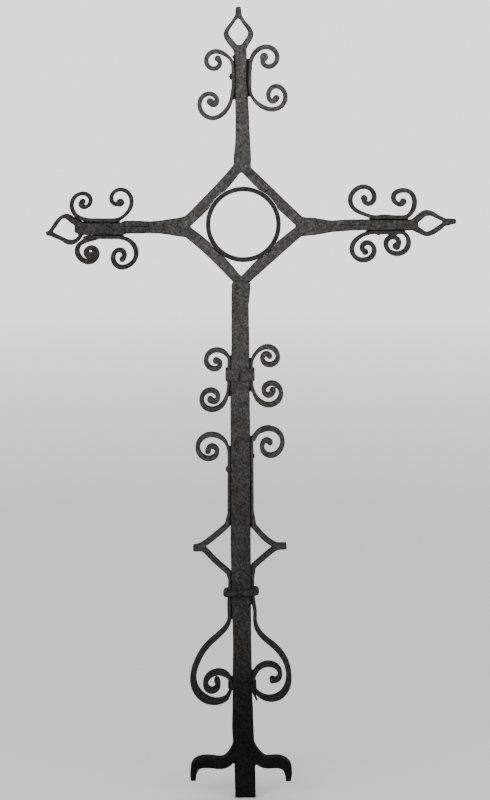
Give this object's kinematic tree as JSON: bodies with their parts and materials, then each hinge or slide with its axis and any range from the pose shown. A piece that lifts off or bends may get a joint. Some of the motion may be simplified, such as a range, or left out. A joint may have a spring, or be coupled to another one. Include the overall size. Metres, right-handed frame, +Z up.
{
  "type": "wrought iron cross",
  "caption": "Wrought iron grave or roof cross with an open diamond and loose hoop at the crossing, split pointed ends, curled side strips held by collars and rivets, and bracket feet on a tang.",
  "frame": {"origin": "middle of the flat bottom end of the tang, where the cross is let into its base or clamped", "axes": "+X to the right as seen from the front, +Z up along the shaft, the front faces -Y"},
  "size_m": [0.6566, 0.034, 1.3022],
  "materials": {
    "cross_frame": "hand-forged wrought iron, blackened, with fine mottled scale",
    "ring": "hand-forged round-bent flat bar, blackened",
    "scroll_top_left": "hand-forged strip, blackened",
    "scroll_top_right": "hand-forged strip, blackened",
    "scroll_left_arm_upper": "hand-forged strip, blackened",
    "scroll_left_arm_lower": "hand-forged strip, blackened",
    "scroll_right_arm_upper": "hand-forged strip, blackened",
    "scroll_right_arm_lower": "hand-forged strip, blackened",
    "scroll_shaft_left": "hand-forged strip, blackened",
    "scroll_shaft_right": "hand-forged strip, blackened",
    "lyre_strip_left": "hand-forged strip, blackened, thicker under the lyre",
    "lyre_strip_right": "hand-forged strip, blackened, thicker under the lyre",
    "collar_upper": "flat strap wrapped hot, blackened, seam left open in front",
    "collar_middle": "rounded bead collar, rubbed on its crown",
    "collar_lower": "thin flat strap with a clinched tail, blackened",
    "rivets": "hammered rivet heads, blackened"
  },
  "bodies": {
    "root": {"cross_frame": "cross_frame", "ring": "ring", "scroll_top_left": "scroll_top_left", "scroll_top_right": "scroll_top_right", "scroll_left_arm_upper": "scroll_left_arm_upper", "scroll_left_arm_lower": "scroll_left_arm_lower", "scroll_right_arm_upper": "scroll_right_arm_upper", "scroll_right_arm_lower": "scroll_right_arm_lower", "scroll_shaft_left": "scroll_shaft_left", "scroll_shaft_right": "scroll_shaft_right", "lyre_strip_left": "lyre_strip_left", "lyre_strip_right": "lyre_strip_right", "collar_upper": "collar_upper", "collar_middle": "collar_middle", "collar_lower": "collar_lower", "rivet_top_arm": "rivets", "rivet_right_arm_inner": "rivets", "rivet_right_arm_outer": "rivets", "rivet_shaft_lower": "rivets", "rivet_shaft_upper": "rivets"}
  },
  "joints": []
}
